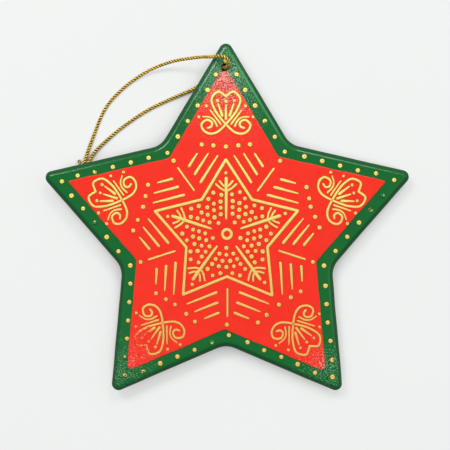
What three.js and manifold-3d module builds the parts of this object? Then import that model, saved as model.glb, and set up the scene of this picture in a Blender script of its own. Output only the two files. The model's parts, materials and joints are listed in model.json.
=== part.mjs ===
// Wooden star ornament: a round-edged five-pointed board, lacquered green with a red field and
// a gold folk pattern, and hung by a loop of thin metallic cord that is knotted at its ends.
// It lies on its back on a table, propped by the knot under its left arm.
// Millimetres, +Z up, +Y towards the arm with the hanging hole, table at Z = 0.
import * as THREE from 'three';
import { mergeVertices } from 'three/addons/utils/BufferGeometryUtils.js';
import Module from 'manifold-3d';

const wasm = await Module();
wasm.setup();

// Star board
const armCount = 5;
const tipRadius = 54.6; // centre to where an arm's straight edges would meet
const valleyRadius = 30.5; // centre to where two arms' edges would meet
const tipRound = 1.85;
const valleyRound = 6;
const boardThickness = 6;
const edgeRound = 1.7; // sanded edge, front and back
const edgeSteps = 4;
const cornerSteps = 4; // arc steps in a quarter of a corner's rounding

// Hanging hole
const holeDiameter = 2.2;
const holeFromTip = 8.5; // from the sharp tip, along the arm
const holeSideways = -0.7; // drilled a little off the arm's axis

// Lacquer layers
const borderWidth = 4; // green left showing round the red field
const redThickness = 0.2;
const redTipRound = 0.7;
const redValleyRound = 1.7;
const goldThickness = 0.25;
const layerGap = 0.05; // between one layer and the next

// Gold star and centre ring
const goldStarTipRadius = 20.4; // to the middle of its line
const goldStarValleyRadius = 11.8;
const goldStarLineWidth = 0.85;
const ringOuterRadius = 1.75;
const ringInnerRadius = 0.75;
const ringSteps = 24;

// Gold sprig inside each point of the gold star
const sprigFromRing = 2.4;
const sprigFromStarTip = 5;
const sprigRootWidth = 0.4;
const sprigTopWidth = 0.8;
const twigWidth = 0.7;
const lowTwigDrop = 3.4; // from the sprig's top down to where the twig starts
const lowTwigReach = 2.75;
const lowTwigRise = 1.9;
const highTwigDrop = 2.2;
const highTwigReach = 1.7;
const highTwigRise = 1.5;

// Gold strokes beside the gold star, and a ray between the arms
const strokeNames = ['inner', 'middle', 'outer'];
const strokePitch = 2.55;
const strokeAboveStarTip = 1.7; // the strokes' thin ends line up across the arm
const strokeFromRay = 2.9; // their thick ends line up beside the ray
const strokeThinWidth = 0.5;
const strokeThickWidth = 0.95;
const rayStarGap = 3.3;
const rayBorderGap = 3.7;
const rayWidth = 0.65;

// Gold scroll heart near each arm's tip, drawn from the point where its two lines cross
const heartFromRedTip = 16.4;
const heartHeight = 9;
const heartWidth = 7.9;
const heartCleft = 1.3;
const scrollSpan = 13.5;
const scrollDrop = 2.6;
const scrollRise = 1.2;
const heartLineWidth = 0.8;
const heartSteps = 34;

// Cord and its knot
const cordDiameter = 0.9;
const cordSides = 8;
const cordGap = 0.3; // between stretches, and between the cord and the knot
const knotRadius = 1.15;
const knotLength = 2.7;
const knotWraps = 3;
const knotCentre = new THREE.Vector2(-39.4, 17.2); // from the star's centre
const knotHeading = 1.3; // angle of the knot's axis from +X, radians
const propGap = 0.1; // between the knot and the board's back
const tableGap = 0.05; // under the cord where it lies

// Turns a closed geometry into a solid for joining and cutting.
function solid(geometry) {
  const bare = geometry.clone();
  bare.deleteAttribute('normal');
  bare.deleteAttribute('uv');
  const merged = mergeVertices(bare, 1e-4);
  return new wasm.Manifold(new wasm.Mesh({
    numProp: 3,
    vertProperties: new Float32Array(merged.attributes.position.array),
    triVerts: new Uint32Array(merged.index.array),
  }));
}

// Turns a solid back into a geometry.
function geometryOf(body) {
  const mesh = body.getMesh();
  const geometry = new THREE.BufferGeometry();
  geometry.setAttribute('position', new THREE.BufferAttribute(mesh.vertProperties, 3));
  geometry.setIndex(new THREE.BufferAttribute(mesh.triVerts, 1));
  geometry.computeVertexNormals();
  return geometry;
}

function join(geometries) {
  return geometryOf(geometries.map(solid).reduce((sum, next) => sum.add(next)));
}

function cut(geometry, tool) {
  return geometryOf(solid(geometry).subtract(solid(tool)));
}

// A point of the star at an angle clockwise from +Y.
function polar(radius, angle) {
  return new THREE.Vector2(radius * Math.sin(angle), radius * Math.cos(angle));
}

// Corners of a star, tip first, with its edges moved inwards by an inset.
function starCorners(tip, valley, inset = 0) {
  const step = Math.PI / armCount;
  const edge = polar(valley, step).sub(polar(tip, 0));
  const edgeDistance = tip * Math.abs(edge.x) / edge.length();
  const scale = 1 - inset / edgeDistance;
  return Array.from({ length: 2 * armCount }, (_, i) => (
    polar((i % 2 ? valley : tip) * scale, i * step)
  ));
}

// A closed outline through the corners, each rounded by its own radius.
function roundedShape(corners, radii) {
  const shape = new THREE.Shape();
  corners.forEach((corner, i) => {
    const toLast = corners.at(i - 1).clone().sub(corner).normalize();
    const toNext = corners[(i + 1) % corners.length].clone().sub(corner).normalize();
    const half = Math.acos(toLast.dot(toNext)) / 2;
    const middle = toLast.clone().add(toNext).normalize();
    const centre = corner.clone().addScaledVector(middle, radii[i] / Math.sin(half));
    const reach = radii[i] / Math.tan(half);
    const from = corner.clone().addScaledVector(toLast, reach).sub(centre);
    const to = corner.clone().addScaledVector(toNext, reach).sub(centre);
    const clockwise = toLast.cross(toNext) > 0;
    shape.absarc(centre.x, centre.y, radii[i], from.angle(), to.angle(), clockwise);
  });
  shape.closePath();
  return shape;
}

// A flat layer of paint with the given outline.
function layer(shape, thickness, curveSegments = cornerSteps) {
  return new THREE.ExtrudeGeometry(shape, {
    depth: thickness, bevelEnabled: false, curveSegments,
  });
}

// The outline of a brush stroke along a curve, from one width to another, with round ends.
function strokeShape(curve, startWidth, endWidth, steps = 1, endSteps = 3) {
  const left = [];
  const right = [];
  for (let i = 0; i <= steps; i += 1) {
    const t = i / steps;
    const point = curve.getPointAt(t);
    const along = curve.getTangentAt(t);
    const half = THREE.MathUtils.lerp(startWidth, endWidth, t) / 2;
    const side = new THREE.Vector2(-along.y, along.x).multiplyScalar(half);
    left.push(point.clone().add(side));
    right.unshift(point.clone().sub(side));
  }
  const roundEnd = (t, width, turn) => {
    const along = curve.getTangentAt(t);
    return Array.from({ length: endSteps - 1 }, (_, i) => {
      const angle = along.angle() + turn - Math.PI * (i + 1) / endSteps;
      const out = new THREE.Vector2(Math.cos(angle), Math.sin(angle));
      return curve.getPointAt(t).addScaledVector(out, width / 2);
    });
  };
  return new THREE.Shape([
    ...left,
    ...roundEnd(1, endWidth, Math.PI / 2),
    ...right,
    ...roundEnd(0, startWidth, -Math.PI / 2),
  ]);
}

function stroke(points, startWidth, endWidth, steps, endSteps) {
  const curve = points.length > 2
    ? new THREE.SplineCurve(points)
    : new THREE.LineCurve(...points);
  return layer(strokeShape(curve, startWidth, endWidth, steps, endSteps), goldThickness);
}

const mirrored = (points) => points.map((p) => new THREE.Vector2(-p.x, p.y));
const point2 = (x, y) => new THREE.Vector2(x, y);

const green = new THREE.MeshStandardMaterial({ color: 0x1f6b38, roughness: 0.35 });
const red = new THREE.MeshStandardMaterial({ color: 0xf23929, roughness: 0.35 });
const gold = new THREE.MeshStandardMaterial({ color: 0xeec766, roughness: 0.4, metalness: 0.5 });
const cordGold = new THREE.MeshStandardMaterial({ color: 0xb88a3c, roughness: 0.4, metalness: 0.6 });

function part(name, geometry, material) {
  const mesh = new THREE.Mesh(geometry, material);
  mesh.name = name;
  return mesh;
}

// Board: the rounded star with sanded edges, drilled near the tip of the arm that points to +Y.
const boardCorners = starCorners(tipRadius, valleyRadius);
const boardOutline = roundedShape(
  boardCorners,
  boardCorners.map((_, i) => (i % 2 ? valleyRound : tipRound)),
);
const blank = new THREE.ExtrudeGeometry(boardOutline, {
  depth: boardThickness - 2 * edgeRound,
  bevelThickness: edgeRound,
  bevelSize: edgeRound,
  bevelOffset: -edgeRound,
  bevelSegments: edgeSteps,
  curveSegments: cornerSteps,
}).translate(0, 0, edgeRound);

const hole = point2(holeSideways, tipRadius - holeFromTip);
const drill = new THREE.CylinderGeometry(
  holeDiameter / 2, holeDiameter / 2, 3 * boardThickness, 20,
).rotateX(Math.PI / 2).translate(hole.x, hole.y, boardThickness / 2);

const star = new THREE.Group();
star.add(part('star_board', cut(blank, drill), green));

// Red field, inside the green border and open at the hole.
const redCorners = starCorners(tipRadius, valleyRadius, borderWidth);
const redOutline = roundedShape(
  redCorners,
  redCorners.map((_, i) => (i % 2 ? redValleyRound : redTipRound)),
);
const redFilm = layer(redOutline, redThickness, 3);
const redField = part('red_field', cut(redFilm, drill), red);
redField.position.z = boardThickness + layerGap;
star.add(redField);

// Gold star round the middle, drawn as a line, with a ring at its centre.
const pattern = new THREE.Group();
pattern.position.z = boardThickness + redThickness + 2 * layerGap;
const goldStarCorners = (inset) => starCorners(goldStarTipRadius, goldStarValleyRadius, inset);
const starLine = new THREE.Shape(goldStarCorners(-goldStarLineWidth / 2));
starLine.holes.push(new THREE.Path(goldStarCorners(goldStarLineWidth / 2).reverse()));
pattern.add(part('gold_star_line', layer(starLine, goldThickness), gold));

const ring = new THREE.Shape().absarc(0, 0, ringOuterRadius, 0, 2 * Math.PI);
ring.holes.push(new THREE.Path().absarc(0, 0, ringInnerRadius, 0, 2 * Math.PI));
pattern.add(part('gold_centre_ring', layer(ring, goldThickness, ringSteps / 2), gold));

// Sprig: a stem that thickens towards the star's point, with two pairs of curved twigs.
function sprig() {
  const root = ringOuterRadius + sprigFromRing;
  const top = goldStarTipRadius - sprigFromStarTip;
  const stem = stroke([point2(0, root), point2(0, top)], sprigRootWidth, sprigTopWidth);
  const twigPair = (drop, reach, rise) => {
    const twig = [
      point2(0, top - drop),
      point2(reach * 0.55, top - drop + rise * 0.5),
      point2(reach, top - drop + rise),
    ];
    return [twig, mirrored(twig)].map((line) => stroke(line, twigWidth, twigWidth, 4, 2));
  };
  return join([
    stem,
    ...twigPair(lowTwigDrop, lowTwigReach, lowTwigRise),
    ...twigPair(highTwigDrop, highTwigReach, highTwigRise),
  ]);
}

// Scroll heart: two mirrored lines that leave the cleft, round the lobes, cross at the heart's
// foot and curl into a scroll on the other side.
function heart() {
  const half = heartWidth / 2;
  const reach = scrollSpan / 2;
  const line = [
    point2(0, heartHeight - heartCleft),
    point2(half * 0.53, heartHeight),
    point2(half, heartHeight * 0.78),
    point2(half * 0.77, heartHeight * 0.44),
    point2(half * 0.42, heartHeight * 0.21),
    point2(0, 0),
    point2(-reach * 0.18, -scrollDrop * 0.48),
    point2(-reach * 0.39, -scrollDrop * 0.88),
    point2(-reach * 0.67, -scrollDrop),
    point2(-reach * 0.92, -scrollDrop * 0.65),
    point2(-reach, -scrollDrop * 0.04),
    point2(-reach * 0.78, scrollRise),
    point2(-reach * 0.57, scrollRise * 0.33),
    point2(-reach * 0.6, -scrollRise * 0.54),
    point2(-reach * 0.72, -scrollRise * 0.8),
  ];
  return join([line, mirrored(line)].map((points) => (
    stroke(points, heartLineWidth, heartLineWidth, heartSteps)
  )));
}

// Strokes on one side of the gold star's point, parallel to its edge.
function sideStrokes() {
  const [tip, valley] = goldStarCorners(0);
  const along = valley.clone().sub(tip).normalize();
  const away = point2(-along.y, along.x);
  const ray = polar(1, Math.PI / armCount);
  return strokeNames.map((_, row) => {
    const origin = tip.clone().addScaledVector(away, strokePitch * (row + 1));
    const lineUp = (origin.y - goldStarTipRadius - strokeAboveStarTip) / -along.y;
    const start = origin.clone().addScaledVector(along, lineUp);
    const toRay = (start.cross(ray) * -1 - strokeFromRay) / along.cross(ray);
    return [start, start.clone().addScaledVector(along, toRay)];
  });
}

// Every arm carries the same pattern.
const redTip = redCorners[0].length();
const redValley = redCorners[1].length();
for (let i = 0; i < armCount; i += 1) {
  const arm = new THREE.Group();
  arm.rotation.z = -i * 2 * Math.PI / armCount;
  const number = i + 1;
  arm.add(part(`gold_sprig_${number}`, sprig(), gold));

  const heartMesh = part(`gold_heart_${number}`, heart(), gold);
  heartMesh.position.y = redTip - heartFromRedTip;
  arm.add(heartMesh);

  sideStrokes().forEach((line, row) => {
    const widths = [strokeThinWidth, strokeThickWidth];
    arm.add(part(`gold_stroke_${number}_right_${strokeNames[row]}`, stroke(line, ...widths), gold));
    arm.add(part(
      `gold_stroke_${number}_left_${strokeNames[row]}`, stroke(mirrored(line), ...widths), gold,
    ));
  });

  const between = Math.PI / armCount;
  const ray = [
    polar(goldStarValleyRadius + rayStarGap, between),
    polar(redValley - rayBorderGap, between),
  ];
  arm.add(part(`gold_ray_${number}`, stroke(ray, rayWidth, rayWidth), gold));
  pattern.add(arm);
}
star.add(pattern);

// The board leans on the knot: it turns about the line through the two arm tips on the right
// that stay on the table, until its back clears the knot.
const armEdge = boardCorners[1].clone().sub(boardCorners[0]);
const tipHalfAngle = Math.atan2(armEdge.x, -armEdge.y);
const footRadius = tipRadius - tipRound / Math.sin(tipHalfAngle) + tipRound - edgeRound;
const armStep = 2 * Math.PI / armCount;
const footRight = polar(footRadius, armStep);
const footLow = polar(footRadius, 2 * armStep);
const footLine = footRight.clone().sub(footLow).normalize();
const fromFeet = (p) => footLine.cross(p.clone().sub(footLow));
const propHeight = 2 * knotRadius + propGap;
const lean = Math.atan(propHeight / fromFeet(knotCentre));
const backHeight = (p) => fromFeet(p) * Math.tan(lean);

star.quaternion.setFromAxisAngle(new THREE.Vector3(footLine.x, footLine.y, 0), lean);
star.updateMatrixWorld(true);
const bounds = new THREE.Box3().setFromObject(star, true);
const middle = bounds.getCenter(new THREE.Vector3());
star.position.set(-middle.x, -middle.y, -bounds.min.z);

// Cord route, from the knot over the board's front, down through the hole and back to the knot
// under the board. Plan positions are from the star's centre.
const cordRadius = cordDiameter / 2;
const front = backHeight(hole) + boardThickness;
const back = backHeight(hole);
const onTable = (x, y) => new THREE.Vector3(x, y, cordRadius + tableGap);
const above = (x, y, height) => new THREE.Vector3(hole.x + x, hole.y + y, front + height);
const below = (x, y, height) => new THREE.Vector3(hole.x + x, hole.y + y, back + height);
const cordRoute = new THREE.CatmullRomCurve3([
  new THREE.Vector3(-39.85, 19.2, 0.9),
  new THREE.Vector3(-39.5, 20.2, 0.6),
  onTable(-38.9, 21.6),
  onTable(-37.8, 24.4),
  onTable(-36.5, 27.7),
  onTable(-35.3, 30.8),
  onTable(-34, 33.7),
  onTable(-32.2, 36.5),
  onTable(-29.9, 39),
  onTable(-27.2, 41.4),
  new THREE.Vector3(-24.2, 43.6, 0.85),
  new THREE.Vector3(-20.8, 45.5, 1.6),
  new THREE.Vector3(-17.2, 47, 2.8),
  new THREE.Vector3(-13.6, 48, 4.3),
  new THREE.Vector3(-10.2, 48.6, 5.9),
  above(-6.3, 2.9, -0.1),
  above(-3.5, 2.9, 1.35),
  above(-1, 2.75, 2.5),
  above(0, 2.45, 2.75),
  above(0.8, 1.85, 2.45),
  above(1.1, 1.15, 1.75),
  above(0.85, 0.6, 0.9),
  above(0.4, 0.25, 0.1),
  above(0.1, 0.05, -0.8),
  above(0, 0, -2.2),
  below(0, 0, 2.2),
  below(0, 0, 0.8),
  below(-0.2, -0.15, -0.2),
  below(-0.7, -0.55, -0.85),
  onTable(hole.x - 1.5, hole.y - 1.15),
  onTable(-4.9, 42.9),
  onTable(-8.7, 40.2),
  onTable(-12.2, 38.7),
  onTable(-16.1, 37),
  onTable(-19.8, 35.2),
  onTable(-23.5, 33.1),
  onTable(-26.9, 30.8),
  onTable(-30.3, 28.3),
  onTable(-33.4, 25.7),
  onTable(-35.9, 23.2),
  new THREE.Vector3(-37.7, 21.1, 0.6),
  new THREE.Vector3(-38.6, 19.6, 0.9),
], false, 'centripetal');
cordRoute.arcLengthDivisions = 1200;
const cordLength = cordRoute.getLength();

// A stretch of the route between two lengths along it.
class Stretch extends THREE.Curve {
  constructor(from, to) {
    super();
    this.from = from;
    this.to = to;
  }

  getPoint(t, target = new THREE.Vector3()) {
    const length = THREE.MathUtils.lerp(this.from, this.to, t);
    return cordRoute.getPointAt(THREE.MathUtils.clamp(length / cordLength, 0, 1), target);
  }
}

function tube(curve, steps) {
  const section = new THREE.Shape(Array.from({ length: cordSides }, (_, i) => (
    polar(cordRadius, 2 * Math.PI * i / cordSides)
  )));
  return new THREE.ExtrudeGeometry(section, { steps, extrudePath: curve, bevelEnabled: false });
}

// Lengths along the route at which the bend through the hole begins and ends.
function lengthNear(place) {
  const count = 2000;
  let best = 0;
  let least = Infinity;
  for (let i = 0; i <= count; i += 1) {
    const distance = cordRoute.getPointAt(i / count).distanceToSquared(place);
    if (distance < least) {
      least = distance;
      best = i / count;
    }
  }
  return best * cordLength;
}
const bendStart = lengthNear(above(-6.3, 2.9, -0.1));
const bendEnd = lengthNear(onTable(-4.9, 42.9));

const cord = new THREE.Group();
cord.position.set(star.position.x, star.position.y, 0);
cord.add(part('cord_front_strand', tube(new Stretch(0, bendStart - cordGap), 24), cordGold));
cord.add(part('cord_through_hole', tube(new Stretch(bendStart, bendEnd), 34), cordGold));
cord.add(part('cord_back_strand', tube(new Stretch(bendEnd + cordGap, cordLength), 20), cordGold));

// Knot: the two ends tied together, wrapped round a core, with their cut tails.
const wrapRadius = knotRadius - cordRadius;
const wraps = Array.from({ length: knotWraps }, (_, i) => {
  const spread = (knotLength - cordDiameter) * (i / (knotWraps - 1) - 0.5);
  const tilt = i % 2 ? -0.25 : 0.25;
  return new THREE.TorusGeometry(wrapRadius, cordRadius, 8, 16)
    .rotateY(Math.PI / 2)
    .rotateZ(tilt)
    .translate(spread, 0, 0);
});
const core = new THREE.CapsuleGeometry(wrapRadius, knotLength - cordDiameter, 4, 12)
  .rotateZ(Math.PI / 2);
const tails = [
  [new THREE.Vector3(-0.4, 0.6, -0.3), new THREE.Vector3(0.9, 1.45, -0.6),
    new THREE.Vector3(2.3, 1.75, -0.7)],
  [new THREE.Vector3(-0.9, 0, -0.2), new THREE.Vector3(-2.2, -0.3, -0.6),
    new THREE.Vector3(-3.8, 0.2, -0.7)],
].map((points) => tube(new THREE.CatmullRomCurve3(points), 6));
const knot = part('cord_knot', join([core, ...wraps, ...tails]), cordGold);
knot.rotation.z = knotHeading;
knot.position.set(knotCentre.x, knotCentre.y, knotRadius);
cord.add(knot);

const ornament = new THREE.Group();
ornament.name = 'star_ornament';
ornament.add(star, cord);

export default ornament;
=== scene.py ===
"""Wooden star ornament: its looks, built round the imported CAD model.

A board lacquered green, with a red field and a gold folk pattern in low relief, and a thin
twisted cord that goes through one arm and is knotted. It lies on its back on a table, propped
by the knot. Metres, +Z up, the table at Z = 0.
"""
import json
import math

import bmesh
import bpy
from bpy.props import FloatProperty, FloatVectorProperty, IntProperty, PointerProperty
from mathutils import Matrix, Vector, noise


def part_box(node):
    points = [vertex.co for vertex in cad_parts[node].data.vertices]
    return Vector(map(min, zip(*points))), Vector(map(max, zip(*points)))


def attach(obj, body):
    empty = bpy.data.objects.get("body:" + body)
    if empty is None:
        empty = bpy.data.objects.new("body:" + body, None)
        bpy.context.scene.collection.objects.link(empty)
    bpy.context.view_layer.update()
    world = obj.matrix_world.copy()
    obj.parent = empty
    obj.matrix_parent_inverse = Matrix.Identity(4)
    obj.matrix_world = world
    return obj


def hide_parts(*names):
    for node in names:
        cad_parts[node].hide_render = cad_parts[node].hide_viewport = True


bl_info = {
    "name": "Wooden star ornament",
    "version": (1, 0, 0),
    "blender": (4, 5, 0),
    "location": "3D View > Sidebar > Ornament",
    "description": "Builds a lacquered wooden star with a gold pattern and a twisted hanging cord",
    "category": "Object",
}

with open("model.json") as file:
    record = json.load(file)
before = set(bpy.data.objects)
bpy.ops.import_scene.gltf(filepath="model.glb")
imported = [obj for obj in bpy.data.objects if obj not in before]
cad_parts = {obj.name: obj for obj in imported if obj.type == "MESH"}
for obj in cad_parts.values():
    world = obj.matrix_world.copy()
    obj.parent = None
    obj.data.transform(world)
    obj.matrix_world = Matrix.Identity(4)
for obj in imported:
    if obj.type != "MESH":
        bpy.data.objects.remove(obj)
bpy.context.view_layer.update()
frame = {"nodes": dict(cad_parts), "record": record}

MM = 0.001
ARMS = 5
HALF_ARM = math.pi / ARMS
BODY = "root"

# Fineness of bends: their least steps, and the turn of an arc's step in radians
LEAST_STEPS = 4
ARC_TURN = 0.16
# Fineness of curves: steps worked out for each one kept, and millimetres between a line's points
CURVE_FINENESS = 3
LINE_STEP = 0.22
# Sides of a line of paint and of a thread
LINE_SIDES = 12
TUBE_SIDES = 8

# Places along the round end of a line, as shares of half its width, and its least height
LINE_END = (0.0, 0.04, 0.14, 0.3, 0.55)
LEAST_END = 0.003

# Heights above the back of the board, in millimetres
RED_BASE = 5.97
GOLD_ON_RED = 6.252
GOLD_ON_GREEN = 6.002
RING_MIDDLE = 6.425


class StarSizes(bpy.types.PropertyGroup):
    """Sizes of the board and of its paint layers."""

    tip_radius: FloatProperty(
        name="Tip radius", description="Centre to where an arm's straight edges would meet",
        default=0.0546, unit="LENGTH")
    valley_radius: FloatProperty(
        name="Valley radius", description="Centre to where the edges of two arms would meet",
        default=0.0305, unit="LENGTH")
    tip_round: FloatProperty(
        name="Tip rounding", description="Radius of the arms' tips",
        default=0.00185, unit="LENGTH")
    valley_round: FloatProperty(
        name="Valley rounding", description="Radius between two arms",
        default=0.006, unit="LENGTH")
    thickness: FloatProperty(
        name="Thickness", description="Thickness of the board",
        default=0.006, unit="LENGTH")
    edge_round: FloatProperty(
        name="Edge rounding", description="Radius of the sanded edge, front and back",
        default=0.0017, unit="LENGTH")
    hole_diameter: FloatProperty(
        name="Hole diameter", description="Diameter of the hanging hole",
        default=0.002, unit="LENGTH")
    hole_up: FloatProperty(
        name="Hole up", description="Hanging hole's distance up the arm from the star's centre",
        default=0.0461, unit="LENGTH")
    hole_sideways: FloatProperty(
        name="Hole sideways", description="How far the hole is drilled off the arm's axis",
        default=-0.0007, unit="LENGTH")
    red_top: FloatProperty(
        name="Red film height", description="Top of the red film above the board's back",
        default=0.00625, unit="LENGTH")
    relief: FloatProperty(
        name="Gold relief", description="Height of a gold line as a share of half its width",
        default=0.2, subtype="FACTOR", min=0, max=1)
    spot_relief: FloatProperty(
        name="Dot relief", description="Height of a gold dot as a share of its radius",
        default=0.24, subtype="FACTOR", min=0, max=1)


class CordSizes(bpy.types.PropertyGroup):
    """Sizes of the hanging cord."""

    diameter: FloatProperty(
        name="Diameter", description="Diameter of the twisted cord",
        default=0.001, unit="LENGTH")
    plies: IntProperty(
        name="Plies", description="Foil-wrapped threads twisted together", default=2)
    lay: FloatProperty(
        name="Lay", description="Length of one full turn of the twist",
        default=0.00166, unit="LENGTH")


class PaintColours(bpy.types.PropertyGroup):
    """Colours of the finishes."""

    green: FloatVectorProperty(
        name="Green lacquer", description="Board colour", subtype="COLOR", size=3,
        default=(0.0125, 0.148, 0.035))
    # The grain colours are the pale specks near three tips: painted glints near the top and
    # lower-left tips, worn grain near the lower-right tip
    green_glint_grain: FloatVectorProperty(
        name="Green grain", description="Rubbed grain of the green lacquer", subtype="COLOR",
        size=3, default=(0.25, 0.5, 0.31))
    red: FloatVectorProperty(
        name="Red lacquer", description="Field colour", subtype="COLOR", size=3,
        default=(0.985, 0.040, 0.023))
    red_glint_grain: FloatVectorProperty(
        name="Red grain", description="Rubbed grain of the red lacquer", subtype="COLOR",
        size=3, default=(0.8, 0.47, 0.39))
    # The gold and its deep tone make a painted reflection, yellow towards the arm with the hole;
    # the dull gold is the border dots' deep tone
    gold: FloatVectorProperty(
        name="Gold paint", description="Pattern colour", subtype="COLOR", size=3,
        default=(1.0, 0.99, 0.235))
    deep_gold: FloatVectorProperty(
        name="Thin gold paint", description="Pattern colour where the paint is thin",
        subtype="COLOR", size=3, default=(1.0, 0.48, 0.11))
    dull_gold: FloatVectorProperty(
        name="Dull gold paint", description="Colour of the border's dots where the paint is thin",
        subtype="COLOR", size=3, default=(0.86, 0.66, 0.15))
    foil: FloatVectorProperty(
        name="Cord foil", description="Colour of the cord's metallic threads", subtype="COLOR",
        size=3, default=(1.0, 0.6, 0.07))
    core: FloatVectorProperty(
        name="Cord core", description="Colour of the dark thread inside the cord",
        subtype="COLOR", size=3, default=(0.03, 0.012, 0.004))
    floor: FloatVectorProperty(
        name="Floor", description="Colour of the pale table", subtype="COLOR", size=3,
        default=(0.86, 0.872, 0.862))


class StageSizes(bpy.types.PropertyGroup):
    """Camera and light."""

    view_width: FloatProperty(
        name="View width", description="Width that the camera sees at the star's front",
        default=0.12465, unit="LENGTH")
    view_distance: FloatProperty(
        name="View distance", description="Camera height above the star's front",
        default=0.5, unit="LENGTH")
    world_strength: FloatProperty(
        name="Room light", description="Strength of the even light from all round", default=0.75)


class Wiring:
    """Adds nodes to a tree and joins them."""

    def __init__(self, tree):
        self.tree = tree

    def add(self, kind, inputs=None, **settings):
        """A new node with its settings, and with its inputs set or joined."""
        node = self.tree.nodes.new(kind)
        for key, value in settings.items():
            setattr(node, key, value)
        for key, value in (inputs or {}).items():
            if isinstance(value, bpy.types.NodeSocket):
                self.tree.links.new(value, node.inputs[key])
            else:
                node.inputs[key].default_value = value
        return node

    def math(self, operation, first, second=0.0, third=0.0):
        """The result of a Math node."""
        node = self.add("ShaderNodeMath", {0: first, 1: second, 2: third}, operation=operation)
        return node.outputs[0]

    def span(self, value, low, high, to_low=0.0, to_high=1.0):
        """A value that goes between two numbers while the given one goes from low to high."""
        node = self.add("ShaderNodeMapRange", {
            "Value": value, "From Min": low, "From Max": high,
            "To Min": to_low, "To Max": to_high})
        return node.outputs["Result"]


class Finish(Wiring):
    """A material whose look comes from noise, attributes and the shader's own sockets."""

    def __init__(self, name, **sockets):
        self.material = bpy.data.materials.new(name)
        self.material.use_nodes = True
        super().__init__(self.material.node_tree)
        self.shader = self.tree.nodes["Principled BSDF"]
        for key, value in sockets.items():
            self.shader.inputs[key.replace("_", " ")].default_value = value
        self.place = self.add("ShaderNodeTexCoord").outputs["Object"]

    def noise(self, scale, detail, roughness=0.5):
        """Mottling that is finer for a larger scale."""
        node = self.add("ShaderNodeTexNoise", {
            "Vector": self.place, "Scale": scale, "Detail": detail, "Roughness": roughness})
        return node.outputs["Fac"]

    def attribute(self, name):
        """A named number that the mesh keeps at its points."""
        return self.add("ShaderNodeAttribute", attribute_name=name).outputs["Fac"]

    def mix(self, factor, first, second):
        """A colour between two, through the colour sockets of a Mix node."""
        node = self.add("ShaderNodeMix", {
            "Factor": factor, 6: colour4(first), 7: colour4(second)}, data_type="RGBA")
        return node.outputs[2]

    def bump(self, height, distance, strength, normal=None):
        """Normals of a surface raised by a height, over a coarser one if its normals are given."""
        inputs = {"Height": height, "Distance": distance, "Strength": strength}
        if normal:
            inputs["Normal"] = normal
        return self.add("ShaderNodeBump", inputs).outputs["Normal"]

    def near(self, places):
        """A value that rises to its most at each of some places on the star's front."""
        nearest = 0.0
        star = star_place()
        for x, y, reach, most in places:
            spot = star @ Vector((x * MM, y * MM, RED_BASE * MM))
            away = self.add("ShaderNodeVectorMath", {0: self.place, 1: spot}, operation="DISTANCE")
            closeness = self.span(away.outputs["Value"], 0.0, reach * MM, most, 0.0)
            nearest = self.math("MAXIMUM", nearest, closeness)
        return nearest

    def set(self, socket, value):
        """Joins a value to one of the shader's sockets."""
        self.tree.links.new(value, self.shader.inputs[socket])


def colour4(colour):
    """A colour with its alpha, or a socket as it is."""
    if isinstance(colour, bpy.types.NodeSocket):
        return colour
    return (*colour, 1.0)


def shade(colour, factor):
    """A colour made darker or lighter."""
    return tuple(min(1.0, channel * factor) for channel in colour)


# The star's own frame


def star_place():
    """Where the middle of the board's back is in the row frame, and how the star leans."""
    back = next(m for m in frame["record"]["mounts"] if m["name"] == "back_face")
    up = -Vector(back["axis"]).normalized()
    low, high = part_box("gold_centre_ring")
    turn = Vector((0, 0, 1)).rotation_difference(up)
    return Matrix.LocRotScale((low + high) / 2 - up * RING_MIDDLE * MM, turn, None)


def polar(radius, angle):
    """A point at an angle clockwise from the arm with the hole."""
    return Vector((radius * math.sin(angle), radius * math.cos(angle)))


def arm_turn(arm):
    """The turn from the arm with the hole to another, counted clockwise."""
    return Matrix.Rotation(-2 * HALF_ARM * arm, 2)


def star_corners(tip, valley):
    """Tips and valleys of a star in turn, clockwise from the arm with the hole."""
    return [polar(valley if i % 2 else tip, i * HALF_ARM) for i in range(2 * ARMS)]


def cross(a, b):
    """How far one direction turns from another, times their lengths."""
    return a.x * b.y - a.y * b.x


def inset_corners(corners, insets):
    """Corners of an outline whose edges are each moved inwards by their own inset."""
    lines = []
    for i, corner in enumerate(corners):
        along = (corners[(i + 1) % len(corners)] - corner).normalized()
        lines.append((corner + Vector((along.y, -along.x)) * insets[i], along))
    moved = []
    for i, (start, along) in enumerate(lines):
        last, past = lines[i - 1]
        moved.append(last + past * cross(start - last, along) / cross(past, along))
    return moved


def board_corners(sizes, insets):
    """Corners of the board with its edges moved inwards by insets in millimetres."""
    corners = star_corners(sizes.tip_radius, sizes.valley_radius)
    return inset_corners(corners, [inset * MM for inset in insets])


def rounded_outline(corners, radii, step):
    """Points of a clockwise outline with rounded corners, each with its inward direction."""
    arcs = []
    for i, corner in enumerate(corners):
        before = (corners[i - 1] - corner).normalized()
        after = (corners[(i + 1) % len(corners)] - corner).normalized()
        half = math.acos(before.dot(after)) / 2
        middle = (before + after).normalized()
        centre = corner + middle * radii[i] / math.sin(half)
        convex = cross(before, after) > 0
        sweep = math.pi - 2 * half
        count = max(LEAST_STEPS, round(sweep * radii[i] / step), round(sweep / ARC_TURN))
        arc = []
        for k in range(count + 1):
            angle = sweep * (k / count - 0.5) * (-1 if convex else 1)
            out = Matrix.Rotation(angle, 2) @ -middle
            arc.append((centre + out * radii[i], -out if convex else out))
        arcs.append(arc)
    outline = []
    for i, arc in enumerate(arcs):
        outline.extend(arc)
        start, inward = arc[-1]
        end = arcs[(i + 1) % len(arcs)][0][0]
        count = max(1, round((end - start).length / step))
        outline.extend((start.lerp(end, k / count), inward) for k in range(1, count))
    return outline


def hand_made(outline, amount, scale, seed):
    """The outline with its points moved in and out a little, as sanding or masking leaves it."""
    return [
        (point + inward * amount * noise.noise(Vector((point.x * scale, point.y * scale, seed))),
         inward)
        for point, inward in outline
    ]


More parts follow.
